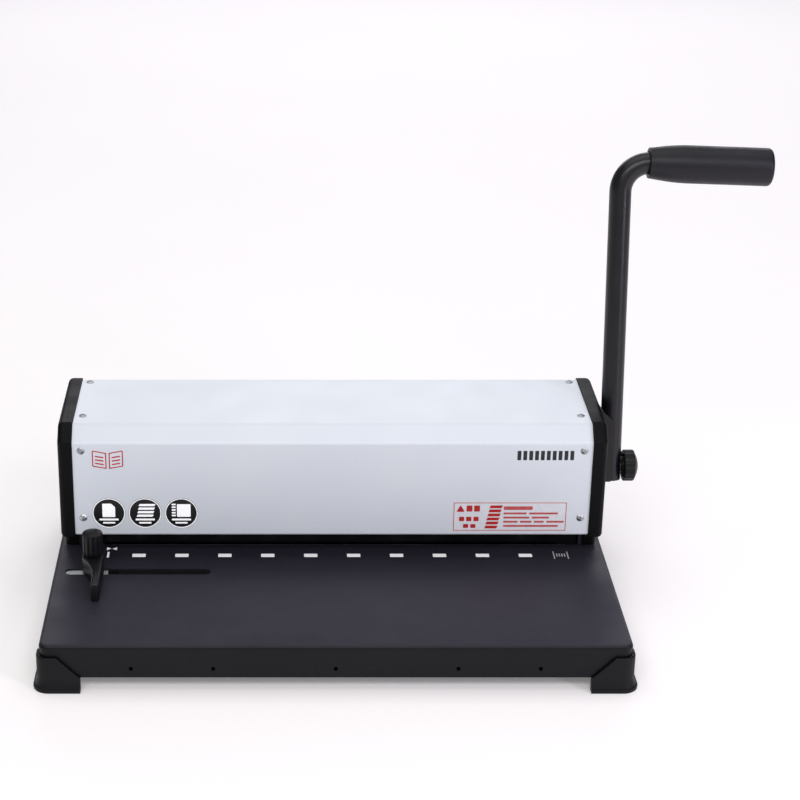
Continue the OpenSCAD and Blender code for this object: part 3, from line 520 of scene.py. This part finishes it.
def side_cover(name, right):
    levels = [(0, SIDE_IN), (0, SIDE_OUT - SIDE_FILLET)]
    levels += [(SIDE_FILLET * (1 - math.cos(a)), SIDE_OUT - SIDE_FILLET * (1 - math.sin(a)))
               for a in (math.radians(15 * k) for k in range(1, 7))]
    obj = new_mesh(name, moved(moulded_prism(side_corners, levels, 7.5), TO_X))
    hollow = [(SIDE_WALL, SIDE_IN - 1), (SIDE_WALL, SIDE_OUT - SIDE_WALL)]
    carve(obj, moved(moulded_prism(side_corners, hollow), TO_X))
    for y, z in side_screw_places:
        carve(obj, moved(prism(disc(y, z, 4.2), [(0, SIDE_OUT - 4), (0, SIDE_OUT + 1)]), TO_X))
    if right:
        carve(obj, moved(prism(disc(38, 85, 8), [(0, SIDE_IN - 1), (0, SIDE_OUT + 1)]), TO_X))
    for y, z in side_screw_places:
        boss_end = SIDE_OUT - 2.95
        boss = turned([(2.1, SIDE_IN), (5, SIDE_IN), (5, boss_end), (2.1, boss_end)], 48, looped=True)
        attach(obj, moved(boss, Matrix.Translation((0, y, z)) @ TO_X))
    if not right:
        obj.data.transform(MIRROR_X)
        obj.data.flip_normals()
    return obj


for name, right in (("left_side_cover", False), ("right_side_cover", True)):
    finish_piece(side_cover("moulded_" + name, right), "root", looks["cover_plastic"],
                 [name], edge=0.3)


# ---------- corner feet ----------

HALF_W, HALF_D, RIM_Z, FOOT_TOP = 191.4, 125.0, 9.3, 24.4
FOOT_IN, FOOT_RISE, CORNER_R = 26.6, 15.0, 6.0


def foot_shape():
    """The foot at +X, +Y: a flared skirt round the corner and the block inside it."""
    stations = []
    reach_x, reach_y = HALF_W - FOOT_IN, HALF_D - FOOT_IN
    straight = [0, 1, 3, 6, 9, 12, 14, 15, 18, 20.6]
    for s in straight:
        stations.append((Vector((reach_x + s, HALF_D)), Vector((0, 1)), s))
    centre = Vector((HALF_W - CORNER_R, HALF_D - CORNER_R))
    for k in range(13):
        a = math.radians(90 - 7.5 * k)
        out = Vector((math.cos(a), math.sin(a)))
        stations.append((centre + out * CORNER_R, out, 21))
    for s in straight[::-1]:
        stations.append((Vector((HALF_W, reach_y + s)), Vector((1, 0)), s))
    rings = []
    for at, out, s in stations:
        top = RIM_Z + (FOOT_TOP - RIM_Z) * min(1, max(0.06, s / FOOT_RISE))
        profile = [(-1.5, 0.3), (-1.2, 0), (4.25, 0), (4.6, 0.35), (4.6, 2.0), (4.4, 2.55), (3.9, 2.8),
                   (3.55, 2.95), (3.4, 3.3), (3.1, 4.2), (2.7, 5.4), (2.3, 6.8), (2.06, 8.2), (2.0, top - 0.8),
                   (1.86, top - 0.35), (1.55, top - 0.08), (1.2, top), (0.06, top), (0.06, RIM_Z),
                   (-1.5, RIM_Z - 0.01)]
        rings.append([(at.x + out.x * d, at.y + out.y * d, z) for d, z in profile])
    corner = [(reach_x + 6, reach_y + 6, 1), (HALF_W - 0.9, reach_y + 6, 0.5),
              (HALF_W - 0.9, HALF_D - 0.9, CORNER_R - 0.9), (reach_x + 6, HALF_D - 0.9, 0.5)]
    return merged(loft(rings), moulded_prism(corner, [(0.4, 0.05), (0, 0.45), (0, RIM_Z - 0.02)]))


well = prism(disc(176, 117, 4.4), [(0, -1), (0, 4)])
bore = prism(disc(176, 117, 2.1), [(0, -1), (0, 12)])
for name, flip in (("front_left_foot", MIRROR_X @ MIRROR_Y), ("front_right_foot", MIRROR_Y),
                   ("rear_left_foot", MIRROR_X), ("rear_right_foot", Matrix.Identity(4))):
    obj = new_mesh("moulded_" + name, moved(foot_shape(), flip))
    carve(obj, moved(well, flip))
    carve(obj, moved(bore, flip))
    finish_piece(obj, "root", looks["foot_plastic"], [name], angle=40)


# ---------- lever ----------

SHAFT_Y, SHAFT_Z, LEAN, DROOP = 38.0, 85.0, 10.0, 2.0
TUBE_X, TUBE_R, BEND_R, LEVER_LEN, TUBE_LOW = 197.0, 7.5, 19.5, 213.6, 9.6
GRIP_X, GRIP_LEN, GRIP_R = 215.3, 84.0, 13.0
on_lever = Matrix.Translation((0, SHAFT_Y, SHAFT_Z)) @ Matrix.Rotation(math.radians(-LEAN), 4, "X")
at_grip = (on_lever
           @ Matrix.Translation((GRIP_X, 0, LEVER_LEN - math.tan(math.radians(DROOP)) * (GRIP_X - TUBE_X)))
           @ Matrix.Rotation(math.radians(90 + DROOP), 4, "Y"))


def tube_path():
    bend = math.radians(90 + DROOP)
    drop = math.tan(math.radians(DROOP)) * BEND_R * (1 - math.cos(bend))
    rise = LEVER_LEN - BEND_R * math.sin(bend) - drop
    path = [Vector((TUBE_X, 0, -TUBE_LOW + (rise + TUBE_LOW) * k / 8)) for k in range(8)]
    for k in range(33):
        a = bend * k / 32
        path.append(Vector((TUBE_X + BEND_R * (1 - math.cos(a)), 0, rise + BEND_R * math.sin(a))))
    last, out = path[-1], Vector((math.sin(bend), 0, math.cos(bend)))
    run = GRIP_X + GRIP_LEN - TUBE_X - BEND_R - 7
    return path + [last + out * run * k / 4 for k in range(1, 5)]


def ring(radius, count=64):
    return [(radius * math.cos(2 * math.pi * k / count), radius * math.sin(2 * math.pi * k / count))
            for k in range(count)]


path = tube_path()
outer, inner = swept(path, ring(TUBE_R), False), swept(path, ring(TUBE_R - 1.5), False)
count = len(path) * 64
tube_faces = list(outer[1]) + [tuple(i + count for i in f[::-1]) for f in inner[1]]
for start in (0, count - 64):
    for j in range(64):
        k = (j + 1) % 64
        tube_faces.append((start + k, start + j, count + start + j, count + start + k))
tube = new_mesh("bent_tube", moved((outer[0] + inner[0], tube_faces), on_lever))
carve(tube, moved(prism(disc(0, 0, 4.1), [(0, TUBE_X - 10), (0, TUBE_X + 10)]), on_lever @ TO_X))
finish_piece(tube, "lever", looks["lever_coat"], ["handle_tube"], angle=50, edge=0.3)

grip_profile = [(TUBE_R + 0.5, 5), (TUBE_R + 0.5, 0.7), (TUBE_R + 0.9, 0.1), (9.9, 0), (10.3, 0.12), (10.52, 0.4),
                (10.6, 0.9), (10.62, 1.9)]
for k in range(1, 13):
    t = k / 12
    grip_profile.append((10.62 + (GRIP_R - 10.62) * math.sin(t * math.pi / 2), 1.9 + 25 * t))
grip_profile += [(GRIP_R, 45), (GRIP_R, 65), (GRIP_R, GRIP_LEN - 3)]
grip_profile += [(GRIP_R - 3 * (1 - math.cos(a)), GRIP_LEN - 3 * (1 - math.sin(a)))
                 for a in (math.radians(15 * k) for k in range(1, 7))]
grip_profile += [(8.6, GRIP_LEN), (8.2, GRIP_LEN - 0.1), (7.9, GRIP_LEN - 0.5), (6.0, GRIP_LEN - 0.7),
                 (3.0, GRIP_LEN - 0.6), (1.0, GRIP_LEN - 0.55), (0.2, GRIP_LEN - 0.55),
                 (0.2, GRIP_LEN - 4), (TUBE_R + 0.02, GRIP_LEN - 4), (TUBE_R + 0.02, 5)]
add("lathe_grip", moved(turned(grip_profile, 96, looped=True), at_grip), "lever",
    looks["grip_plastic"], ["handle_grip"])


# ---------- knobs ----------

def flutes(count, depth, edge, share, until):
    """Narrows a turned shape outside radius edge in count rounded grooves, below a height."""
    def radius(r, h, angle):
        if h > until or r < edge:
            return r
        phase = (angle * count / (2 * math.pi)) % 1.0
        near = abs(phase - 0.5) / share
        return r - depth * (math.cos(near * math.pi / 2) if near < 1 else 0)
    return radius


def dome_levels(r, z, height, edge):
    """A soft edge and a shallow dome that starts at radius r and height z."""
    levels = [(r - edge * (1 - math.cos(a)), z + edge * math.sin(a))
              for a in (math.radians(15 * k) for k in range(7))]
    start_r, start_z = levels[-1]
    return levels + [(start_r * (1 - t), start_z + height * (1 - (1 - t) ** 2))
                     for t in (0.15, 0.3, 0.45, 0.6, 0.75, 0.88, 0.97)]


KNOB_X, LOCK_R = 204.8, 11.1
lock_profile = [(4.05, 6), (4.05, 0.2), (4.3, 0), (6.1, 0), (6.4, 0.3), (6.5, 5.2), (6.8, 5.6), (8.6, 5.6),
                (9.0, 5.2), (9.35, 1.4), (9.55, 1.1), (10.3, 1.0), (10.75, 1.2), (11.0, 1.6), (11.1, 2.2)]
lock_profile += dome_levels(LOCK_R, 7.7, 2.95, 1.1)
lock_shape = turned(lock_profile, 216, radius=flutes(18, 0.3, edge=10.6, share=0.45, until=8.7))
ribs = [moved(box_shape((6.2, -0.5, 2.2), (9.3, 0.5, 5.8)), Matrix.Rotation(math.radians(60 * k), 4, "Z"))
        for k in range(6)]
to_knob = Matrix.Translation((KNOB_X, SHAFT_Y, SHAFT_Z)) @ Matrix.Rotation(math.pi / 2, 4, "Y")
add("lobed_lock_knob", moved(merged(lock_shape, *ribs), to_knob), "lock_knob_body",
    looks["knob_plastic"], ["lock_knob"])

GUIDE_X, GUIDE_Y, GUIDE_LOW, GUIDE_TOP = -163.8, -22.7, 32.7, 45.9
guide_profile = [(3.06, 15), (3.06, 0.3), (3.3, 0), (6.2, 0), (6.75, 0.2), (7.05, 0.7)]
guide_profile += [(7.05, 4), (7.05, 10)] + dome_levels(7.05, 15.6, 1.5, 0.8)
knob_shape = turned(guide_profile, 144, radius=flutes(12, 0.75, edge=6.0, share=0.35, until=16.2))
add("fluted_guide_knob", moved(knob_shape, Matrix.Translation((GUIDE_X, GUIDE_Y, GUIDE_TOP + 0.1))),
    "guide_knob_body", looks["knob_plastic"], ["guide_knob"])


# ---------- side guide ----------

def guide_outline():
    right, left, low = GUIDE_X + 7.1, GUIDE_X + 1.6, GUIDE_Y - 43.4
    curve_y, curve_r = GUIDE_Y - 32, 49
    centre = Vector((left - curve_r, curve_y))
    out = rounded([(left, curve_y, 0), (left, low, 1.2), (right, low, 1.6), (right, GUIDE_Y, 0)], closed=False)
    out += [Vector((GUIDE_X + 7.3 * math.cos(a), GUIDE_Y + 7.3 * math.sin(a)))
            for a in (math.radians(14 + 166 * k / 20) for k in range(21))]
    last = math.asin((GUIDE_Y - 3.84 - curve_y) / curve_r)
    out += [centre + curve_r * Vector((math.cos(a), math.sin(a)))
            for a in (last * (1 - k / 12) for k in range(12))]
    return out


guide = prism(guide_outline(), [
    (0.4, GUIDE_LOW), (0, GUIDE_LOW + 0.4), (0, GUIDE_TOP - 1.3), (0.12, GUIDE_TOP - 0.8),
    (0.42, GUIDE_TOP - 0.35), (0.9, GUIDE_TOP - 0.08), (1.4, GUIDE_TOP)])
guide_obj = new_mesh("moulded_side_guide", guide)
carve(guide_obj, prism(disc(GUIDE_X, GUIDE_Y, 3.1), [(0, 30), (0, 50)]))
finish_piece(guide_obj, "side_guide", looks["guide_plastic"], ["guide_block"])


# ---------- return springs ----------

def coil(x, y, low, high):
    """A wire spring with closed ends between two heights."""
    turns, per_turn, sides, r, wire = 5.0, 32, 10, 5.3, 0.6
    steps = int(turns * per_turn)
    rings = []
    for i in range(steps + 1):
        t = i / steps
        ease = min(1.0, t * turns / 0.8, (1 - t) * turns / 0.8)
        h = low + wire + (high - low - 2 * wire) * (t if ease >= 1 else (0.02 if t < 0.5 else 0.98) * (1 - ease)
                                                  + t * ease)
        a = 2 * math.pi * i / per_turn
        rings.append([(x + (r + wire * math.cos(b)) * math.cos(a), y + (r + wire * math.cos(b)) * math.sin(a),
                       h + wire * math.sin(b)) for b in (2 * math.pi * j / sides for j in range(sides))])
    return loft(rings)


POST_X, POST_Y = 161, 25.2
spring_low, spring_high = (v.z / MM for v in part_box("return_springs"))
coils = [coil(x, POST_Y, spring_low, spring_high) for x in (-POST_X, POST_X)]
springs = add("wire_springs", merged(*coils), "root", looks["spring_steel"], ["return_springs"],
              angle=60)
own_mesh(springs)


# ---------- printed marks ----------

def on_front(outlines, low, high):
    """Film shapes on the cover's front panel, drawn in X and Z."""
    return merged(*[moved(prism(o, [(0, low), (0, high)]), Matrix.Translation((0, COVER_FRONT, 0)) @ TO_FRONT)
                    for o in outlines])


TABLE_Z = 32.6


def on_table(outlines, high=0.05):
    return merged(*[prism(o, [(0, TABLE_Z), (0, TABLE_Z + high)]) for o in outlines])


def frame_bars(u0, v0, u1, v1, w):
    return [quad(u0, v0, u1, v0 + w), quad(u0, v1 - w, u1, v1), quad(u0, v0 + w, u0 + w, v1 - w),
            quad(u1 - w, v0 + w, u1, v1 - w)]


punch_dashes = [quad(30 * k - 138.9, -1.2, 30 * k - 129.6, 3.5, 0.3) for k in range(10)]
add("punch_place_marks", on_table(punch_dashes), "root", glowing_white_ink)

end_marks = [quad(155.3, -4, 156.1, 7, 0.2), quad(164.9, -4, 165.7, 7, 0.2)]
end_marks += [quad(157.4 + 1.8 * k, -0.6, 158.2 + 1.8 * k, 4.0, 0.2) for k in range(4)]
add("end_marks", on_table(end_marks), "root", glowing_grey_ink)
edge_marks = [quad(-156.6, -2, -155.1, 6.4, 0.2),
              rounded([(-157.4, 13.6, 0.2), (-157.4, 9.0, 0.2), (-154.2, 11.4, 0.2)]),
              rounded([(-150.4, 13.6, 0.2), (-153.6, 11.2, 0.2), (-150.4, 9.0, 0.2)])]
add("edge_marks", on_table(edge_marks), "root", glowing_white_ink)

badge_places = [-153.8, -128.8, -103.8]
BADGE_Z = 68.0
badge_profile = [(0.3, 0.27), (8, 0.27), (10.8, 0.26), (11.15, 0.22), (11.35, 0.12), (11.4, 0.02),
                 (11.4, 0), (0.3, 0)]
badges = [moved(turned(badge_profile, 96), Matrix.Translation((x, COVER_FRONT, BADGE_Z)) @ TO_FRONT)
          for x in badge_places]
add("round_badges", merged(*badges), "root", looks["badge_film"], ["front_badges"], angle=50)

z = BADGE_Z
icons = [quad(x - 6.6, z - 5.6, x + 6.6, z - 4.2, 0.3) for x in badge_places]
icons += [quad(x - 4.2, z - 8.0, x + 4.2, z - 6.8, 0.3) for x in badge_places]
x = badge_places[0]
icons += [rounded([(x - 4.4, z - 3.0, 0.4), (x + 4.4, z - 3.0, 0.4), (x + 4.4, z + 4.6, 0.2),
                   (x + 1.6, z + 7.2, 0.2), (x - 4.4, z + 7.2, 0.4)], step=30)]
x = badge_places[1]
icons += [rounded([(x - 6 + 0.5 * k, z - 2.8 + 2.7 * k, 0.2), (x + 5 + 0.5 * k, z - 2.8 + 2.7 * k, 0.2),
                   (x + 6 + 0.5 * k, z - 1.1 + 2.7 * k, 0.2), (x - 5 + 0.5 * k, z - 1.1 + 2.7 * k, 0.2)], step=30)
          for k in range(4)]
x = badge_places[2]
icons += [quad(x - 3.0, z - 2.8, x + 6.4, z + 6.8, 0.5)]
icons += [quad(x - 6.6, z - 2.4 + 2.1 * k, x - 3.8, z - 1.2 + 2.1 * k, 0.4) for k in range(5)]
add("badge_icons", on_front(icons, 0.25, 0.3), "root", glowing_white_ink)
rims = [moved(turned([(10.6, 0.25), (11.2, 0.25), (11.2, 0.3), (10.6, 0.3)], 96, looped=True),
              Matrix.Translation((x, COVER_FRONT, BADGE_Z)) @ TO_FRONT) for x in badge_places]
add("badge_rims", merged(*rims), "root", glowing_white_ink)

LABEL = (83.4, 53.9, 162.2, 76.5)
u0, v0, u1, v1 = LABEL
add("label_carrier", on_front([quad(u0, v0, u1, v1, 0.6)], 0, 0.08), "root", looks["label_film"],
    ["info_label"])
add("label_frame", on_front(frame_bars(u0 + 0.5, v0 + 0.5, u1 - 0.5, v1 - 0.5, 0.55), 0.07, 0.11), "root",
    outline_ink)
marks = [rounded([(u0 + 2.4, v1 - 7.6, 0.3), (u0 + 8.2, v1 - 7.6, 0.3), (u0 + 5.3, v1 - 2.4, 0.3)], step=30)]
marks += [quad(u0 + 9.4, v1 - 7.4, u0 + 13.4, v1 - 2.8, 0.5), quad(u0 + 14.6, v1 - 7.4, u0 + 18.6, v1 - 2.8, 0.5)]
marks += [quad(u0 + 4.4 + 5 * k, v0 + 7.8, u0 + 8.0 + 5 * k, v0 + 11.2, 0.5) for k in range(3)]
marks += [quad(u0 + 7.4 + 5 * k, v0 + 2.6, u0 + 11.0 + 5 * k, v0 + 5.6, 0.5) for k in range(2)]
marks += [rounded([(u0 + 22 + 0.6 * k, v0 + 2.2 + 3.1 * k, 0.2), (u0 + 30.4 + 0.6 * k, v0 + 2.2 + 3.1 * k, 0.2),
                   (u0 + 31.4 + 0.6 * k, v0 + 4.4 + 3.1 * k, 0.2), (u0 + 23 + 0.6 * k, v0 + 4.4 + 3.1 * k, 0.2)],
                  step=30) for k in range(6)]
add("label_marks", on_front(marks, 0.07, 0.11), "root", red_ink)
lines = [quad(u0 + 35, v1 - 6.2, u0 + 55, v1 - 3.4, 0.6)]
for row, lengths in enumerate([(16, 20), (18, 12), (10, 8, 7, 12), (38,)]):
    start = u0 + 35
    for length in lengths:
        lines.append(quad(start, v1 - 9.6 - 3.2 * row, start + length, v1 - 8.1 - 3.2 * row, 0.5))
        start += length + 1.6
add("label_lines", on_front(lines, 0.07, 0.11), "root", outline_ink)

emblem = []
EMBLEM_X = -153.4
for side in (-1, 1):
    fold_x, edge_x = EMBLEM_X + 0.8 * side, EMBLEM_X + 10.6 * side
    page = rounded([(fold_x, 101.4, 0.3), (edge_x, 103.2, 0.8),
                    (edge_x, 115.4, 0.8), (fold_x, 113.4, 0.3)][::side], step=30)
    inner_page = inset(page, 0.8)
    for k in range(len(page)):
        after = (k + 1) % len(page)
        emblem.append([page[k], page[after], inner_page[after], inner_page[k]])
    start_x, end_x = EMBLEM_X + 2.8 * side, EMBLEM_X + 8.6 * side
    for z in (104.2, 106.8, 109.4):
        emblem.append(rounded([(start_x, z, 0.1), (end_x, z + 1, 0.1), (end_x, z + 2, 0.1),
                               (start_x, z + 1, 0.1)][::side], step=30))
add("front_emblem", on_front(emblem, 0, 0.05), "root", red_ink)
pattern = [quad(126 + 4.0 * k, 108.0, 128.6 + 4.0 * k, 115.0, 0.4) for k in range(10)]
add("front_hole_pattern", on_front(pattern, 0, 0.05), "root", dark_ink)


# ---------- floor, lights and camera ----------

floor_mesh = bpy.data.meshes.new("floor")
floor_mesh.from_pydata([(-6, -6, 0), (6, -6, 0), (6, 6, 0), (-6, 6, 0)], [], [(0, 1, 2, 3)])
floor = bpy.data.objects.new("floor", floor_mesh)
bpy.context.scene.collection.objects.link(floor)
f = Finish("floor_paper", Emission_Color=(1, 0.985, 0.98, 1), Emission_Strength=0.17)
floor_mesh.materials.append(f.done(f.mix(f.remap(f.noise(3, 2), 0.3, 0.7, 0, 1), tone(250, 246, 246),
                                         tone(252, 248, 248)),
                                   f.remap(f.noise(300, 2), 0.3, 0.7, 0.75, 0.85)))


def softbox(name, place, aim, size, power, colour=(1, 1, 1)):
    light = bpy.data.lights.new(name, "AREA")
    light.shape, light.size, light.size_y = "RECTANGLE", size[0], size[1]
    light.energy, light.color = power, colour
    obj = bpy.data.objects.new(name, light)
    bpy.context.scene.collection.objects.link(obj)
    obj.location = place
    obj.rotation_mode = "QUATERNION"
    obj.rotation_quaternion = (Vector(aim) - Vector(place)).to_track_quat("-Z", "Y")


softbox("top_light", (0, 0.3, 2.2), (0, 0.1, 0), (2.6, 1.8), 19)
softbox("front_light", (-0.2, -2.2, 2.2), (0, 0, 0.05), (2.6, 0.9), 38, (1.0, 0.99, 0.98))
softbox("fill_light", (-0.1, -2.7, 0.75), (0, 0, 0.1), (2.4, 0.5), 2)
softbox("rear_light", (0.2, 2.4, 1.15), (0, 0, 0.03), (2.4, 0.8), 16, (0.93, 0.92, 1.0))
softbox("side_light", (1.55, -1.35, 0.9), (0.15, 0, 0.2), (0.3, 1.4), 14, (0.88, 0.84, 1.0))

world = bpy.data.worlds.new("studio")
world.use_nodes = True
world.node_tree.nodes["Background"].inputs["Color"].default_value = (0.95, 0.97, 1.0, 1)
world.node_tree.nodes["Background"].inputs["Strength"].default_value = 0.22
bpy.context.scene.world = world

camera_data = bpy.data.cameras.new("camera")
camera_data.sensor_width = 36
camera_data.lens = 89.46
camera_data.shift_x = 0.1555
camera = bpy.data.objects.new("camera", camera_data)
bpy.context.scene.collection.objects.link(camera)
camera.location = (-0.0388, -1.236, 0.6744)
camera.rotation_euler = (math.radians(90 - 22.95), 0, 0)
bpy.context.scene.camera = camera
bpy.context.scene.view_settings.view_transform = "Standard"
